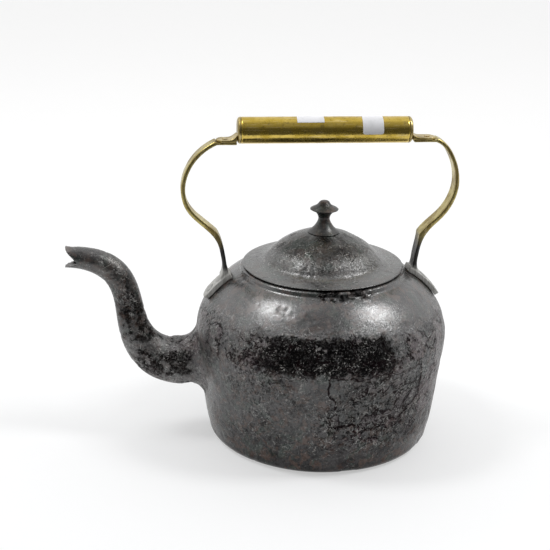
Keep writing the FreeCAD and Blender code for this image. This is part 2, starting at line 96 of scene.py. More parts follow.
# ---- the spout's root on the pot, in millimetres ----
ROOT_Z = 66.8
BORE_R = 16.6
SKIRT_R = 44.0            # the spout's skin reaches this far from the root's axis
SKIRT_FADE = 5.0          # over this width it dives under the pot's skin
SKIRT_DIVE = 0.8
SPOUT_ONLY_X = -118.0     # nothing but spout lies further out than this
WALL_X = -113.0           # from here in, the pot's own skin makes the wall
WALL_DEPTH = 1.6          # the spout's mesh is dropped deeper in the wall than this
BORE_END_X = -111.0
PATCH_LOW_Z, PATCH_HIGH_Z = 18.0, 118.0
PATCH_ANGLE = 33.0        # degrees to each side of the spout
PATCH_T = 3.2


# ---------------------------------------------------------------- noise
def fbm(points, size, octaves=4, seed=0.0):
    """Fractal noise of about -1 to 1 at points in mm, with features of about size mm."""
    shift = Vector((seed * 17.31, seed * 7.77, seed * 3.13))
    scale = 1.0 / size
    return np.array([noise.fractal(Vector(p) * scale + shift, 1.0, 2.0, octaves) for p in points])


def smooth(low, high, value):
    t = np.clip((value - low) / (high - low), 0.0, 1.0)
    return t * t * (3.0 - 2.0 * t)


def craters(points, size, share, seed):
    """Round pits of about size mm: 1 at a pit's centre, 0 outside. share is how many cells have one."""
    shift = Vector((seed * 5.1, seed * 11.7, seed * 2.9))
    depth = np.zeros(len(points))
    for i, p in enumerate(points):
        distances, sites = noise.voronoi(Vector(p) / size + shift)
        if noise.cell(sites[0] * 3.7) < share * 2.0 - 1.0:
            depth[i] = max(0.0, 1.0 - distances[0] / 0.42)
    return smooth(0.0, 1.0, depth)


# ---------------------------------------------------------------- mesh helpers
def half_section(node, to_axis=None):
    """The cut of a turned CAD node by a half plane through its axis: ordered (radius, along) points.

    to_axis turns the node so that its axis is Z. The outline is open when it meets the axis.
    """
    bm = bmesh.new()
    bm.from_mesh(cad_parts[node].data)
    if to_axis is not None:
        bmesh.ops.transform(bm, matrix=to_axis, verts=bm.verts)
    bmesh.ops.remove_doubles(bm, verts=bm.verts, dist=1e-6)
    bmesh.ops.bisect_plane(bm, geom=bm.verts[:] + bm.edges[:] + bm.faces[:], dist=1e-7,
                           plane_co=(1e-5, 0, 0), plane_no=(1, 0, 0), clear_inner=True, clear_outer=True)
    bmesh.ops.bisect_plane(bm, geom=bm.verts[:] + bm.edges[:], dist=1e-7,
                           plane_co=(0, 0, 0), plane_no=(0, 1, 0), clear_inner=True)
    bmesh.ops.remove_doubles(bm, verts=bm.verts, dist=2e-5)
    links = {v: [e.other_vert(v) for e in v.link_edges] for v in bm.verts if v.link_edges}
    loose = [v for v, others in links.items() if len(others) == 1]
    start = min(loose or links, key=lambda v: (v.co.z, v.co.y))
    chain, seen = [start], {start}
    while True:
        onward = [v for v in links[chain[-1]] if v not in seen]
        if not onward:
            break
        # an outline starts outwards
        chain.append(max(onward, key=lambda v: v.co.y))
        seen.add(chain[-1])
    points = [(v.co.y, v.co.z) for v in chain]
    bm.free()
    return points, not loose


def resampled(points, closed, step):
    """The same outline with points step(r, z) apart."""
    outline = np.array(points + points[:1] if closed else points)
    lengths = np.linalg.norm(np.diff(outline, axis=0), axis=1)
    run = np.concatenate([[0.0], np.cumsum(lengths)])
    at, places = 0.0, []
    while at < run[-1]:
        places.append(at)
        at += step(np.interp(at, run, outline[:, 0]), np.interp(at, run, outline[:, 1]))
    if not closed:
        places[-1] = run[-1]
    return [(np.interp(s, run, outline[:, 0]), np.interp(s, run, outline[:, 1])) for s in places]


def mesh_object(name, vertices, faces):
    mesh = bpy.data.meshes.new(name)
    mesh.from_pydata([tuple(v) for v in vertices], [], faces)
    mesh.validate()
    mesh.update()
    piece = bpy.data.objects.new(name, mesh)
    bpy.context.scene.collection.objects.link(piece)
    shade_smooth(mesh)
    return piece


def shade_smooth(mesh):
    mesh.polygons.foreach_set("use_smooth", [True] * len(mesh.polygons))


def lathe(name, outline, closed, segments):
    """A surface of revolution about Z of an outline of (radius, z) points."""
    vertices, faces, rows = [], [], []
    for r, z in outline:
        if r < 1e-5:
            rows.append([len(vertices)] * segments)
            vertices.append((0.0, 0.0, z))
            continue
        rows.append(list(range(len(vertices), len(vertices) + segments)))
        for k in range(segments):
            a = 2.0 * math.pi * k / segments
            vertices.append((r * math.cos(a), r * math.sin(a), z))
    pairs = list(zip(rows, rows[1:])) + ([(rows[-1], rows[0])] if closed else [])
    for low, high in pairs:
        for k in range(segments):
            j = (k + 1) % segments
            ring = [low[k], low[j], high[j], high[k]]
            faces.append([v for i, v in enumerate(ring) if v != ring[i - 1]])
    return mesh_object(name, vertices, faces)


def turned(name, outline, closed, step, segments, from_axis=Matrix()):
    """A lathed piece with rings step mm apart, its axis turned from Z by from_axis."""
    piece = lathe(name, resampled(outline, closed, lambda r, z: step * MM), closed, segments)
    piece.data.transform(from_axis)
    edited(piece, lambda bm: None)
    return piece


def arrays(piece):
    """Vertex places in mm and unit normals."""
    mesh = piece.data
    places = np.empty(len(mesh.vertices) * 3)
    normals = np.empty(len(mesh.vertices) * 3)
    mesh.vertices.foreach_get("co", places)
    mesh.vertex_normals.foreach_get("vector", normals)
    return places.reshape(-1, 3) / MM, normals.reshape(-1, 3)


def moved(piece, places):
    piece.data.vertices.foreach_set("co", (places * MM).ravel())
    piece.data.update()


def paint(piece, name, values):
    """Stores one number per vertex, which the piece's material reads."""
    layer = piece.data.attributes.new(name, "FLOAT", "POINT")
    layer.data.foreach_set("value", np.asarray(values, dtype=np.float32))


def edited(piece, change):
    """Runs change on the piece's mesh as a bmesh."""
    bm = bmesh.new()
    bm.from_mesh(piece.data)
    change(bm)
    bmesh.ops.delete(bm, geom=[v for v in bm.verts if not v.link_faces], context="VERTS")
    bmesh.ops.recalc_face_normals(bm, faces=bm.faces)
    bm.to_mesh(piece.data)
    bm.free()
    shade_smooth(piece.data)


def largest_part(bm):
    """Removes everything but the largest connected part of a mesh."""
    left, parts = set(bm.faces), []
    while left:
        front = [left.pop()]
        part = list(front)
        while front:
            face = front.pop()
            for edge in face.edges:
                for other in edge.link_faces:
                    if other in left:
                        left.remove(other)
                        front.append(other)
                        part.append(other)
        parts.append(part)
    keep = max(parts, key=len)
    for part in parts:
        if part is not keep:
            bmesh.ops.delete(bm, geom=part, context="FACES")


def remeshed(name, objects, voxel):
    """One even mesh round the joined volumes of some objects, with voxel mm faces."""
    bm = bmesh.new()
    for piece in objects:
        bm.from_mesh(piece.data)
    mesh = bpy.data.meshes.new(name)
    bm.to_mesh(mesh)
    bm.free()
    piece = bpy.data.objects.new(name, mesh)
    bpy.context.scene.collection.objects.link(piece)
    even = piece.modifiers.new("even", "REMESH")
    even.mode = "VOXEL"
    even.voxel_size = voxel * MM
    depsgraph = bpy.context.evaluated_depsgraph_get()
    result = bpy.data.meshes.new_from_object(piece.evaluated_get(depsgraph))
    piece.modifiers.clear()
    piece.data = result
    edited(piece, largest_part)
    return piece


def relaxed(piece, rounds):
    """Smooths away the steps that the remeshing leaves."""
    def change(bm):
        for _ in range(rounds):
            bmesh.ops.smooth_vert(bm, verts=bm.verts, factor=0.5, use_axis_x=True, use_axis_y=True,
                                  use_axis_z=True)
    edited(piece, change)


def finish_piece(piece, body, slot, material, *nodes):
    piece.data.materials.clear()
    piece.data.materials.append(material)
    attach(piece, body)
    if nodes:
        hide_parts(*nodes)
    return piece


def dress(node, material):
    """Gives a CAD node its material."""
    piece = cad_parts[node]
    piece.data.materials.clear()
    piece.data.materials.append(material)


# ---------------------------------------------------------------- materials
class Surface:
    """A material's nodes, built up by a few short calls. Sizes are in mm."""

    def __init__(self, name):
        self.material = bpy.data.materials.new(name)
        self.material.use_nodes = True
        self.tree = self.material.node_tree
        self.shader = self.tree.nodes["Principled BSDF"]
        self.place = self.tree.nodes.new("ShaderNodeTexCoord").outputs["Object"]
        self.bumps = None

    def add(self, kind, inputs, **settings):
        node = self.tree.nodes.new("ShaderNode" + kind)
        for key, value in settings.items():
            setattr(node, key, value)
        for key, value in inputs.items():
            self.set(node.inputs[key], value)
        return node

    def set(self, socket, value):
        if isinstance(value, bpy.types.NodeSocket):
            self.tree.links.new(value, socket)
        elif isinstance(value, tuple) and len(value) == 3 and socket.type == "RGBA":
            socket.default_value = value + (1.0,)
        else:
            socket.default_value = value

    def stretched(self, scale):
        return self.add("Mapping", {"Vector": self.place, "Scale": scale}).outputs["Vector"]

    def noise(self, size, detail=3.0, rough=0.55, twist=0.0, stretch=None):
        place = self.stretched(stretch) if stretch else self.place
        return self.add("TexNoise", {"Vector": place, "Scale": 1.0 / (size * MM), "Detail": detail,
                                     "Roughness": rough, "Distortion": twist}).outputs[0]

    def cells(self, size):
        scale = 1.0 / (size * MM)
        return self.add("TexVoronoi", {"Vector": self.place, "Scale": scale}).outputs["Distance"]

    def painted(self, name):
        return self.add("Attribute", {}, attribute_name=name).outputs["Fac"]

    def height(self):
        split = self.add("SeparateXYZ", {"Vector": self.place})
        return self.times(split.outputs["Z"], 1.0 / MM)

    def ramp(self, value, low, high, first=0.0, last=1.0):
        return self.add("MapRange", {0: value, 1: low, 2: high, 3: first, 4: last},
                        interpolation_type="SMOOTHSTEP").outputs[0]

    def math(self, operation, a, b):
        return self.add("Math", {0: a, 1: b}, operation=operation, use_clamp=False).outputs[0]

    def plus(self, a, b):
        return self.math("ADD", a, b)

    def times(self, a, b):
        return self.math("MULTIPLY", a, b)

    def mix(self, share, a, b):
        return self.add("Mix", {0: share, 6: a, 7: b}, data_type="RGBA").outputs[2]

    def bump(self, height, depth):
        """Adds relief of about depth mm."""
        inputs = {"Height": height, "Distance": depth * MM, "Strength": 1.0}
        if self.bumps is not None:
            inputs["Normal"] = self.bumps
        self.bumps = self.add("Bump", inputs).outputs["Normal"]

    def done(self, color, roughness, metallic=0.0):
        self.set(self.shader.inputs["Base Color"], color)
        self.set(self.shader.inputs["Roughness"], roughness)
        self.set(self.shader.inputs["Metallic"], metallic)
        if self.bumps is not None:
            self.set(self.shader.inputs["Normal"], self.bumps)
        return self.material


def iron(name, skin=(0.013, 0.0125, 0.013), worn=(0.036, 0.034, 0.034), shine=0.20, chips=0.8,
         relief=1.0, cracks=1.0, stains=0.6):
    """Old blackened cast iron: a glossy black skin, grey wear, brown stains, cracks, pits and chips."""
    s = Surface(name)
    bare, pitted, char = s.painted("bare"), s.painted("pitted"), s.painted("char")
    soot, fallen = s.painted("soot"), s.painted("fallen")
    cloud = s.noise(30.0, 4.0, 0.65)
    blotch = s.noise(8.0, 5.0, 0.7, 0.5)
    grain = s.noise(1.9, 4.0, 0.7)
    dust = s.noise(0.7, 2.0, 0.7)
    plates = s.noise(26.0, 4.0, 0.55, 0.4)
    heavy = s.times(s.ramp(pitted, 0.40, 0.62), cracks)
    coarse = s.plus(s.ramp(pitted, 0.22, 0.55, 0.20, 1.0), s.times(char, 0.6))
    crack = s.times(s.ramp(s.math("ABSOLUTE", s.plus(plates, -0.5), 0.0), 0.004, 0.028, 1.0, 0.0), heavy)
    edge = s.times(s.ramp(s.math("ABSOLUTE", fallen, 0.0), 0.3, 1.5, 1.0, 0.0), cracks)
    edge = s.times(edge, s.ramp(s.noise(11.0, 3.0), 0.36, 0.50, 0.35, 1.0))
    crack = s.math("MAXIMUM", crack, edge)
    color = s.mix(s.ramp(cloud, 0.42, 0.60), skin, worn)
    every_other_plate = s.times(s.ramp(plates, 0.495, 0.505), s.times(heavy, 0.8))
    color = s.mix(every_other_plate, color, (0.066, 0.036, 0.042))
    color = s.mix(s.times(s.ramp(blotch, 0.49, 0.60), stains), color, (0.092, 0.054, 0.040))
    green = s.times(s.ramp(s.noise(13.0, 4.0, 0.65, 0.6), 0.52, 0.62), 0.6)
    color = s.mix(green, color, (0.030, 0.046, 0.038))
    color = s.mix(s.ramp(fallen, -0.5, 1.0, 0.0, 0.45), color, (0.020, 0.024, 0.022))
    crumbs = s.plus(s.times(grain, 0.5), s.times(s.noise(4.2, 5.0, 0.7, 0.6), 0.5))
    hollows = s.times(s.ramp(crumbs, 0.44, 0.53, 1.0, 0.0), s.times(coarse, 0.7))
    color = s.mix(hollows, color, (0.004, 0.004, 0.0045))
    color = s.mix(s.times(bare, 0.35), color, (0.010, 0.008, 0.009))
    color = s.mix(s.times(char, 0.97), color, (0.0030, 0.0027, 0.0030))
    color = s.mix(s.times(crack, 0.9), color, (0.008, 0.004, 0.005))
    fleck = s.ramp(s.noise(1.6, 4.0, 0.8, 0.5), 0.575, 0.63)
    fleck = s.times(fleck, s.ramp(s.noise(13.0, 3.0), 0.44, 0.56, 0.15, 1.0))
    fleck = s.times(fleck, s.plus(0.25, s.times(coarse, 0.75)))
    color = s.mix(s.times(fleck, chips), color, (0.50, 0.49, 0.47))
    flakes = s.noise(8.5, 3.0, 0.5, 0.7)
    lips = s.ramp(s.math("ABSOLUTE", s.plus(flakes, -0.5), 0.0), 0.004, 0.017, 1.0, 0.0)
    lips = s.times(lips, s.times(s.ramp(s.noise(10.0, 3.0), 0.40, 0.50), s.ramp(pitted, 0.12, 0.34)))
    lips = s.times(s.times(lips, chips), s.plus(1.0, s.times(char, -0.9)))
    color = s.mix(lips, color, (0.24, 0.235, 0.225))
    rim = s.times(s.ramp(s.height(), 0.8, 2.6, 0.8, 0.0), s.ramp(grain, 0.38, 0.50, 0.2, 1.0))
    color = s.mix(rim, color, (0.30, 0.29, 0.275))
    rough = s.plus(s.ramp(blotch, 0.35, 0.65, shine - 0.04, shine + 0.08), s.times(coarse, 0.10))
    rough = s.plus(rough, s.times(s.ramp(dust, 0.35, 0.7), 0.06))
    rough = s.plus(rough, s.times(char, 0.2))
    s.bump(s.times(s.noise(7.0, 4.0, 0.6), coarse), 0.75 * relief)
    s.bump(s.times(grain, coarse), 0.50 * relief)
    eaten = s.plus(s.times(pitted, 0.8), s.times(char, 1.5))
    s.bump(s.times(s.noise(2.8, 4.0, 0.7), eaten), 1.4 * relief)
    s.bump(crack, -0.5 * relief)
    s.bump(lips, 0.25 * relief)
    s.bump(dust, 0.05 * relief)
    s.shader.inputs["IOR"].default_value = IRON_IOR
    # black scale, cracks and the floors of pits reflect next to nothing
    matt = s.plus(s.times(char, s.ramp(crumbs, 0.50, 0.60, 1.0, 0.25)), s.times(bare, 0.15))
    matt = s.plus(matt, s.times(s.ramp(crumbs, 0.43, 0.51, 1.0, 0.0), s.times(coarse, 0.55)))
    # soot also carries painted shade: a dull patch between the two highlights on the pot's shoulder and
    # on the lid's dome
    matt = s.plus(matt, s.plus(s.times(crack, 0.7), soot))
    return s.done(color, rough, s.ramp(matt, 0.0, 1.0))


def brass(name, dents=0.30, gold=(0.49, 0.385, 0.15), tarnish=(0.27, 0.205, 0.070), shine=0.24,
          stretch=(1.0, 1.0, 0.06), soot=None):
    """Aged brass: olive-gold with brown patina, fine scratches and a soft wavy surface.

    stretch draws the scratches out along one axis. soot gives two heights in mm: the brass is
    black below the first and clean above the second.
    """
    s = Surface(name)
    cloud = s.noise(16.0, 3.0, 0.6, 0.3)
    blotch = s.noise(3.6, 4.0, 0.65, 0.2)
    scratch = s.noise(1.1, 2.0, 0.6, 0.0, stretch)
    spots = s.ramp(s.cells(5.0), 0.02, 0.14, 1.0, 0.0)
    color = s.mix(s.ramp(cloud, 0.40, 0.64), gold, tarnish)
    color = s.mix(s.times(s.ramp(blotch, 0.52, 0.70), 0.55), color, (0.15, 0.11, 0.045))
    color = s.mix(s.times(s.ramp(scratch, 0.58, 0.66), 0.5), color, (0.72, 0.58, 0.30))
    color = s.mix(s.times(spots, 0.6), color, (0.05, 0.04, 0.025))
    rough = s.ramp(cloud, 0.35, 0.65, shine, shine + 0.14)
    rough = s.plus(rough, s.times(s.ramp(blotch, 0.45, 0.7), 0.10))
    rough = s.plus(rough, s.times(s.ramp(scratch, 0.5, 0.7), 0.08))
    metal = 1.0
    if soot is not None:
        edge = s.plus(s.height(), s.times(s.noise(9.0, 3.0), 14.0))
        black = s.ramp(edge, soot[0], soot[1], 1.0, 0.0)
        grime = s.mix(s.ramp(blotch, 0.4, 0.62), (0.004, 0.0038, 0.0035), (0.015, 0.0135, 0.012))
        color = s.mix(black, color, grime)
        rough = s.plus(rough, s.times(black, 0.10))
        metal = s.ramp(edge, soot[0], soot[1], 0.0, 1.0)
        # the feet are pale grey
        pale = s.ramp(s.plus(s.height(), s.times(blotch, 6.0)), 153.0, 159.0, 0.95, 0.0)
        feet_grey = s.mix(s.ramp(scratch, 0.4, 0.6), (0.38, 0.375, 0.35), (0.56, 0.555, 0.53))
        color = s.mix(pale, color, feet_grey)
    s.bump(s.noise(11.0, 2.0), dents)
    s.bump(blotch, 0.04)
    s.bump(scratch, 0.02)
    return s.done(color, rough, metal)


def paper(name):
    """White sticker paper, a little grey with handling."""
    s = Surface(name)
    fibre = s.noise(0.5, 3.0, 0.7)
    smudge = s.noise(8.0, 3.0, 0.6)
    color = s.mix(s.ramp(smudge, 0.45, 0.75), (0.80, 0.80, 0.825), (0.70, 0.705, 0.72))
    color = s.mix(s.times(s.ramp(fibre, 0.55, 0.75), 0.15), color, (0.60, 0.58, 0.54))
    s.bump(fibre, 0.03)
    return s.done(color, s.ramp(fibre, 0.3, 0.7, 0.55, 0.72))


def backdrop(name):
    """Matt studio paper whose colour brightens a little towards the back, as painted light."""
    s = Surface(name)
    split = s.add("SeparateXYZ", {"Vector": s.place})
    # painted light: the colour goes from darker near the front to brighter far back
    far = s.ramp(split.outputs["Y"], -0.3, 1.6)
    color = s.mix(far, FLOOR_NEAR_PAINTED_SHADE, FLOOR_FAR_PAINTED_LIGHT)
    color = s.mix(s.times(s.ramp(s.noise(90.0, 3.0), 0.4, 0.7), 0.03), color, (0.48, 0.48, 0.49))
    # painted light: the paper glows, though no lamp lights it from below
    s.set(s.shader.inputs["Emission Color"], (1.0, 1.0, 1.0))
    s.shader.inputs["Emission Strength"].default_value = PAPER_GLOW
    return s.done(color, s.ramp(s.noise(30.0, 2.0), 0.3, 0.7, 0.80, 0.90))


# ---------------------------------------------------------------- cast iron relief
def iron_relief(points, pitted):
    """How far rusted and flaked iron lies under its first skin, in mm, and how bare each place is.

    points are in mm, and pitted is how heavily each is attacked, from 0 to 1.
    """
    swell = 0.14 * (1.0 + fbm(points, 38.0, 2, 1.0))
    patch = fbm(points, 17.0, 5, 2.0) + 0.75 * (pitted - 0.5)
    flaked = smooth(0.10, 0.17, patch)
    deeper = smooth(0.42, 0.49, patch + 0.2 * fbm(points, 5.0, 3, 3.0))
    pits = craters(points, 4.6, 0.5, 1.0) * smooth(0.15, 0.6, pitted)
    small = craters(points, 2.9, 0.55, 2.0) * smooth(0.05, 0.5, pitted)
    grain = 0.04 * (1.0 + fbm(points, 3.2, 3, 4.0))
    depth = swell + 0.32 * flaked + 0.28 * deeper + 0.55 * pits + 0.34 * small + grain * (0.5 + pitted)
    return depth, np.clip(0.45 * flaked + 0.4 * deeper + 0.9 * pits + 0.6 * small, 0.0, 1.0)


def front_angle(points):
    """Degrees round the pot from the middle of its front, towards the rear arm."""
    return np.degrees(np.arctan2(points[:, 0], -points[:, 1]))


def pot_attack(points):
    """Where the pot is eaten away: a band under the shoulder, and plates flaking off at the right."""
    z, angle = points[:, 2], front_angle(points)
    band = np.exp(-((z - 110.0) / 14.0) ** 2)
    patch = np.exp(-(((angle - 18.0) / 26.0) ** 2) - ((z - 60.0) / 22.0) ** 2)
    right = np.exp(-(((angle - 62.0) / 30.0) ** 2) - ((z - 60.0) / 34.0) ** 2)
    base = 0.30 + 0.18 * fbm(points, 55.0, 2, 7.0)
    calm = smooth(4.0, 30.0, z) * smooth(146.0, 124.0, z)
    return np.clip(base + 0.45 * band + 0.5 * patch + 0.5 * right, 0.0, 1.0) * (0.25 + 0.75 * calm)


def loose_plate(points):
    """A plate of scale that has broken away at the right of the front: mm inside its ragged edge."""
    x, y, z = points.T
    across = np.radians(front_angle(points)) * np.hypot(x, y)
    left = across + 7.0 - 6.0 * np.exp(-((z - 70.0) / 9.0) ** 2)
    right = 58.0 + 24.0 * smooth(46.0, 66.0, z) - across
    foot = z - 47.0 - 3.0 * np.sin(across * 0.16)
    inside = np.minimum(np.minimum(left, right), np.minimum(foot, 93.0 - z))
    ragged = 3.2 * fbm(points, 12.0, 3, 22.0) + 1.0 * fbm(points, 3.5, 2, 23.0)
    return np.clip(inside + ragged, -FAR_FROM_PLATE, FAR_FROM_PLATE)


def no_plate(points):
    return np.full(len(points), -FAR_FROM_PLATE)


def pot_char(points):
    """The black crumbling scale across the front, under the shoulder's highlight."""
    z, angle = points[:, 2], front_angle(points)
    window = smooth(-50.0, -24.0, angle) * smooth(33.0, 20.0, angle)
    band = smooth(90.0, 102.0, z) * smooth(130.0, 121.0, z)
    ragged = smooth(-0.42, -0.05, fbm(points, 8.0, 4, 12.0) + 1.1 * (window * band - 0.6))
    # a little more of it hangs under the collar
    collar = smooth(147.0, 149.5, z) * smooth(-22.0, -4.0, angle) * smooth(34.0, 20.0, angle)
    under = 0.8 * smooth(0.0, 0.4, fbm(points, 7.0, 4, 14.0) + 0.5 * (collar - 0.4)) * collar
    return np.clip(ragged * window * band + under, 0.0, 1.0)


def spout_attack(points):
    """The spout is rough near the pot and smoother towards its tip."""
    near = smooth(-185.0, -125.0, points[:, 0])
    return np.clip(0.25 + 0.35 * near + 0.25 * fbm(points, 30.0, 2, 9.0), 0.0, 1.0)


def spout_char(points):
    """A black band along the near side of the spout, from the pot up the rise."""
    x, y, z = points.T
    along = smooth(-176.0, -160.0, x) * smooth(-104.0, -120.0, x)
    bend = smooth(2.0, -6.0, y) * smooth(57.0, 64.0, z) * smooth(90.0, 78.0, z) * along
    rise = smooth(1.0, -5.0, y) * smooth(84.0, 94.0, z) * smooth(142.0, 122.0, z)
    rise = rise * smooth(-183.0, -174.0, x)
    side = np.maximum(bend, 0.8 * rise)
    return 0.75 * smooth(-0.2, 0.35, fbm(points, 6.0, 4, 13.0) + side - 0.75) * side


def lid_attack(points):
    z = points[:, 2]
    front = smooth(30.0, -30.0, points[:, 1])
    dome = smooth(159.0, 164.0, z) * smooth(183.0, 172.0, z)
    return np.clip(0.16 + 0.22 * front * dome + 0.16 * fbm(points, 22.0, 3, 15.0), 0.0, 1.0)


def none(points):
    return np.zeros(len(points))


def pot_soot_and_painted_shade(points):
    """The fire has dulled the lower part, less so the flanks, where the kettle is wiped. The dull patch
    on the front of the shoulder, between its two highlights, is painted shade.
    """
    z, angle = points[:, 2], front_angle(points)
    flank = smooth(52.0, 74.0, np.abs(angle + 6.0))
    # painted shade: the front of the shoulder, between the two highlights, is dulled
    front = np.exp(-((angle + 4.0) / 18.0) ** 2) * smooth(116.0, 130.0, z)
    wall = MATT_SHARE * smooth(130.0, 80.0, z) * (1.0 - 0.85 * flank)
    return wall + 0.26 * smooth(60.0, 3.0, z) + 0.25 * front


def spout_soot(points):
    z = points[:, 2]
    return MATT_SHARE * smooth(84.0, 104.0, z) * smooth(190.0, 150.0, z)


def knob_soot(points):
    return np.full(len(points), MATT_SHARE)


def lid_dullness_and_painted_shade(points):
    """Dull over the crown, glossy again low on the dome and on the brim, but for painted shade: a dull
    patch low on the dome's front, between its two highlights.
    """
    z, angle = points[:, 2], front_angle(points)
    # painted shade: low on the dome's front, between the two highlights, it is dulled
    between = np.exp(-((angle + 4.0) / 20.0) ** 2)
    crown = smooth(168.0, 174.0, z)
    low_dome = smooth(160.0, 164.0, z) * smooth(174.0, 168.0, z)
    return 0.62 * crown + 0.40 * between * low_dome


def rust(piece, attack, char, soot, scale=1.0, plate=no_plate):
    """Eats a piece's surface away and paints what its material reads.

    Returns where the vertices were, in mm, and their normals.
    """
    points, normals = arrays(piece)
    pitted = attack(points)
    black = char(points)
    depth, bare = iron_relief(points, pitted)
    crumbs = black * (0.25 + 0.30 * fbm(points, 2.6, 3, 21.0))
    fallen = plate(points)
    depth = depth + crumbs + 0.5 * smooth(-0.6, 0.9, fallen)
    moved(piece, points - normals * (np.clip(depth, 0.0, DEEPEST_RUST) * scale)[:, None])
    paint(piece, "bare", bare)
    paint(piece, "pitted", pitted)
    paint(piece, "char", black)
    # soot is dullness, and on the pot's shoulder and the lid's dome also painted shade between the
    # highlights
    paint(piece, "soot", soot(points))
    paint(piece, "fallen", fallen)
    return points, normals


# ---------------------------------------------------------------- pieces
def outer_profile(outline):
    """The pot's outer side, from its base to its collar, as (radius, z) in mm by rising z."""
    best = {}
    for r, z in outline:
        key = round(z / MM)
        best[key] = max(best.get(key, 0.0), r / MM)
    heights = sorted(best)
    return np.array([best[h] for h in heights]), np.array(heights, float)


def make_pot(material):
    outline, closed = half_section("pot_body")
    radii, heights = outer_profile(outline)

    def step(r, z):
        wall = np.interp(z / MM, heights, radii) - r / MM
        return (POT_INSIDE_STEP if wall > 2.2 and z > 3.5 * MM else POT_STEP) * MM

    pot = lathe("pot_skin", resampled(outline, closed, step), closed, POT_SEGMENTS)

    def open_bore(bm):
        gone = []
        for f in bm.faces:
            x, y, z = f.calc_center_median() / MM
            if x < 0.0 and math.hypot(y, z - ROOT_Z) < BORE_R - 1.0:
                gone.append(f)
        bmesh.ops.delete(bm, geom=gone, context="FACES")

    edited(pot, open_bore)
    rust(pot, pot_attack, pot_char, pot_soot_and_painted_shade, plate=loose_plate)
    return finish_piece(pot, KETTLE, "pot_iron", material, "pot_body")


def root_patch(radii, heights):
    """A curved slab of the pot's wall behind the spout's root, for the spout's skin to run out on."""
    outer = [(np.interp(z, heights, radii), z) for z in np.arange(PATCH_LOW_Z, PATCH_HIGH_Z, 2.0)]
    ring = outer + [(r - PATCH_T, z) for r, z in reversed(outer)]
    angles = np.radians(np.arange(180.0 - PATCH_ANGLE, 180.0 + PATCH_ANGLE + 0.1, 1.0))
    vertices = [(r * math.cos(a) * MM, r * math.sin(a) * MM, z * MM) for a in angles for r, z in ring]
    n, faces = len(ring), []
    for i in range(len(angles) - 1):
        for k in range(n):
            j = (k + 1) % n
            faces.append([i * n + k, i * n + j, (i + 1) * n + j, (i + 1) * n + k])
    faces.append(list(range(n)))
    faces.append(list(range((len(angles) - 1) * n, len(angles) * n))[::-1])
    return mesh_object("root_patch", vertices, faces)


def make_spout(material):
    radii, heights = outer_profile(half_section("pot_body")[0])
    slab = root_patch(radii, heights)
    spout = remeshed("spout_skin", [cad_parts["spout"], slab], SPOUT_VOXEL)
    bpy.data.objects.remove(slab)

    def crop(bm):
        gone = []
        for f in bm.faces:
            x, y, z = f.calc_center_median() / MM
            off_axis = math.hypot(y, z - ROOT_Z)
            under = np.interp(z, heights, radii) - math.hypot(x, y)
            in_wall = x > WALL_X and under > WALL_DEPTH
            past_skirt = x > SPOUT_ONLY_X and off_axis > SKIRT_R
            in_bore = x > BORE_END_X and off_axis < BORE_R - 2.0
            if in_wall or past_skirt or in_bore:
                gone.append(f)
        bmesh.ops.delete(bm, geom=gone, context="FACES")

    edited(spout, crop)
    edited(spout, largest_part)
    relaxed(spout, 1)
    points, normals = rust(spout, spout_attack_blend, spout_char_blend, spout_soot_blend)
    off_axis = np.hypot(points[:, 1], points[:, 2] - ROOT_Z)
    hem = smooth(SKIRT_R - SKIRT_FADE, SKIRT_R - 1.0, off_axis)
    dive = SKIRT_DIVE * hem * (points[:, 0] > SPOUT_ONLY_X)
    moved(spout, arrays(spout)[0] - normals * dive[:, None])
    return finish_piece(spout, KETTLE, "spout_iron", material, "spout")


def on_root(points):
    """0 out on the spout to 1 on the pot's own wall."""
    off_axis = np.hypot(points[:, 1], points[:, 2] - ROOT_Z)
    return smooth(24.0, 38.0, off_axis) * smooth(-122.0, -112.0, points[:, 0])


def spout_attack_blend(points):
    share = on_root(points)
    return share * pot_attack(points) + (1.0 - share) * spout_attack(points)


def spout_char_blend(points):
    share = on_root(points)
    return share * pot_char(points) + (1.0 - share) * spout_char(points)


def spout_soot_blend(points):
    share = on_root(points)
    return share * pot_soot_and_painted_shade(points) + (1.0 - share) * spout_soot(points)


def make_lid(material):
    lid = turned("lid_skin", *half_section("lid"), LID_STEP, LID_SEGMENTS)
    rust(lid, lid_attack, none, lid_dullness_and_painted_shade, LID_RUST)
    finish_piece(lid, LID, "lid_iron", material, "lid")


def make_knob(material):
    knob = turned("knob_skin", *half_section("lid_knob"), KNOB_STEP, KNOB_SEGMENTS)
    rust(knob, none, none, knob_soot, KNOB_RUST)
    finish_piece(knob, LID, "knob_iron", material, "lid_knob")


def worn_brass(piece, depth, size, seed):
    """Soft dents, never outwards."""
    points, normals = arrays(piece)
    dent = depth * (0.5 + 0.5 * np.clip(fbm(points, size, 3, seed), -1.0, 1.0))
    moved(piece, points - normals * dent[:, None])


def make_grip(tube_brass, cap_brass):
    low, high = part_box("grip_tube")
    axis_z = (low.z + high.z) / 2
    to_axis = Matrix(((0, 1, 0, 0), (0, 0, 1, -axis_z), (1, 0, 0, 0), (0, 0, 0, 1)))
    for name, node, slot, material in (("grip_skin", "grip_tube", "grip_brass", tube_brass),
                                       ("front_cap_skin", "grip_end_cap_front", "cap_brass", cap_brass),
                                       ("rear_cap_skin", "grip_end_cap_rear", "cap_brass", cap_brass)):
        step = GRIP_STEP if node == "grip_tube" else CAP_STEP
        piece = turned(name, *half_section(node, to_axis), step, GRIP_SEGMENTS, to_axis.inverted())
        worn_brass(piece, 0.10, 9.0, 31.0)
        finish_piece(piece, KETTLE, slot, material, node)


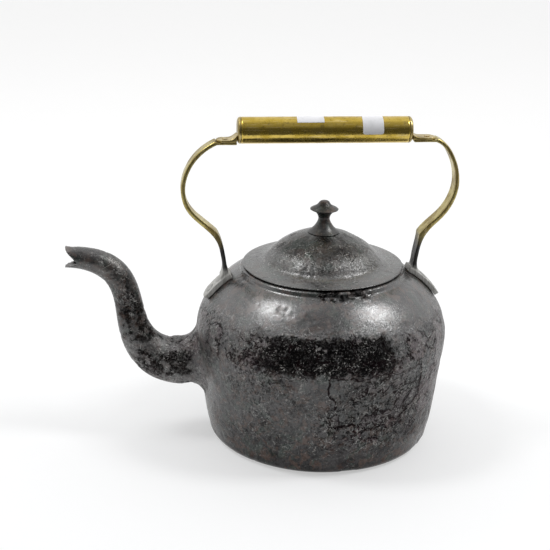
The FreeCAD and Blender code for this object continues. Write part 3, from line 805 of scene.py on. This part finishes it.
def make_arms(arm_brass, bar_brass):
    for name, node, slot, material in (("front_arm_skin", "handle_arm_front", "arm_brass", arm_brass),
                                       ("rear_arm_skin", "handle_arm_rear", "arm_brass", arm_brass),
                                       ("bar_skin", "grip_core_bar", "lap_brass", bar_brass)):
        piece = remeshed(name, [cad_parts[node]], ARM_VOXEL)
        relaxed(piece, 2)
        worn_brass(piece, 0.16, 12.0, 41.0)
        finish_piece(piece, KETTLE, slot, material, node)


# ---------------------------------------------------------------- studio
def make_floor():
    x, front, back = FLOOR_HALF_X, FLOOR_FRONT_Y, FLOOR_BACK_Y
    corners = [(-x, front, 0.0), (x, front, 0.0), (x, back, 0.0), (-x, back, 0.0)]
    floor = mesh_object("floor", corners, [(0, 1, 2, 3)])
    floor.data.materials.append(backdrop("studio_paper"))


def make_world():
    """White walls, a ceiling that dims towards the front, and a dark room behind the camera."""
    world = bpy.data.worlds.new("studio")
    bpy.context.scene.world = world
    world.use_nodes = True
    tree = world.node_tree
    background = tree.nodes["Background"]
    split = tree.nodes.new("ShaderNodeSeparateXYZ")
    tree.links.new(tree.nodes.new("ShaderNodeTexCoord").outputs["Generated"], split.inputs[0])

    def ramp(socket, low, high, first, last):
        node = tree.nodes.new("ShaderNodeMapRange")
        node.interpolation_type = "SMOOTHSTEP"
        tree.links.new(socket, node.inputs[0])
        for i, value in enumerate((low, high)):
            node.inputs[i + 1].default_value = value
        for i, value in enumerate((first, last)):
            if isinstance(value, bpy.types.NodeSocket):
                tree.links.new(value, node.inputs[i + 3])
            else:
                node.inputs[i + 3].default_value = value
        return node.outputs[0]

    sides = ramp(split.outputs["Y"], -0.55, 0.1, ROOM_DARK, SKY_BACK)
    ceiling = ramp(split.outputs["Y"], -0.32, 0.12, SKY_TOP_FRONT, SKY_TOP)
    tree.links.new(ramp(split.outputs["Z"], 0.35, 0.85, sides, ceiling), background.inputs["Color"])


def softbox(name, place, target, size, power):
    lamp = bpy.data.lights.new(name, "AREA")
    lamp.shape = "RECTANGLE"
    lamp.size, lamp.size_y = size
    lamp.energy = power
    light = bpy.data.objects.new(name, lamp)
    bpy.context.scene.collection.objects.link(light)
    light.location = place
    light.rotation_euler = (Vector(target) - Vector(place)).to_track_quat("-Z", "Y").to_euler()


def make_camera():
    camera = bpy.data.objects.new("camera", bpy.data.cameras.new("camera"))
    bpy.context.scene.collection.objects.link(camera)
    a, e, roll = (math.radians(v) for v in (CAMERA_AZIMUTH, CAMERA_ELEVATION, CAMERA_ROLL))
    back = Vector((math.sin(a) * math.cos(e), -math.cos(a) * math.cos(e), math.sin(e)))
    right = Vector((math.cos(a), math.sin(a), 0.0))
    up = back.cross(right)
    x_axis = right * math.cos(roll) + up * math.sin(roll)
    y_axis = up * math.cos(roll) - right * math.sin(roll)
    turn = Matrix((x_axis, y_axis, back)).transposed()
    place = Vector(CAMERA_TARGET) + back * CAMERA_DISTANCE
    camera.matrix_world = Matrix.Translation(place) @ turn.to_4x4()
    camera.data.lens = CAMERA_LENS
    camera.data.sensor_width = 36.0
    camera.data.dof.use_dof = False
    bpy.context.scene.camera = camera


# ---------------------------------------------------------------- run
pot_iron = iron("pot_iron", worn=(0.034, 0.031, 0.032))
spout_iron = iron("spout_iron", skin=(0.013, 0.012, 0.0115), worn=(0.070, 0.063, 0.057), shine=0.25,
                  chips=1.2)
lid_iron = iron("lid_iron", worn=(0.048, 0.047, 0.043), shine=0.18, chips=1.3, cracks=0.0,
                stains=0.25)
knob_iron = iron("knob_iron", skin=(0.010, 0.010, 0.0095), worn=(0.026, 0.025, 0.024), shine=0.32,
                 chips=0.5, relief=0.6)
rivet_iron = iron("rivet_iron", skin=(0.27, 0.265, 0.25), worn=(0.40, 0.395, 0.37), shine=0.38,
                  chips=0.3, relief=0.4, cracks=0.0, stains=0.2)
arm_brass = brass("arm_brass", gold=(0.46, 0.385, 0.145), shine=0.26, soot=(176.0, 197.0))
lap_brass = brass("lap_brass", shine=0.25, stretch=(0.06, 1.0, 1.0))
cap_brass = brass("cap_brass", gold=(0.52, 0.42, 0.19), shine=0.25)
grip_brass = brass("grip_brass", 0.12, gold=(0.64, 0.47, 0.11), tarnish=(0.52, 0.37, 0.06), shine=0.13,
                   stretch=(0.06, 1.0, 1.0))
label_paper = paper("label_paper")

make_pot(pot_iron)
make_spout(spout_iron)
make_lid(lid_iron)
make_knob(knob_iron)
make_grip(grip_brass, cap_brass)
make_arms(arm_brass, lap_brass)
for part in ("knob_washer", "knob_screw", "front_foot_rivets", "rear_foot_rivets", "front_foot_burrs",
             "rear_foot_burrs"):
    dress(part, rivet_iron)
for part in ("front_lap_rivet", "rear_lap_rivet"):
    dress(part, cap_brass)
for part in ("blank_lot_label", "blank_price_label"):
    dress(part, label_paper)

make_floor()
make_world()
for window, place, size, power in WINDOWS:
    softbox(window, place, WINDOWS_AIM, size, power)
make_camera()
bpy.context.scene.view_settings.view_transform = "Standard"
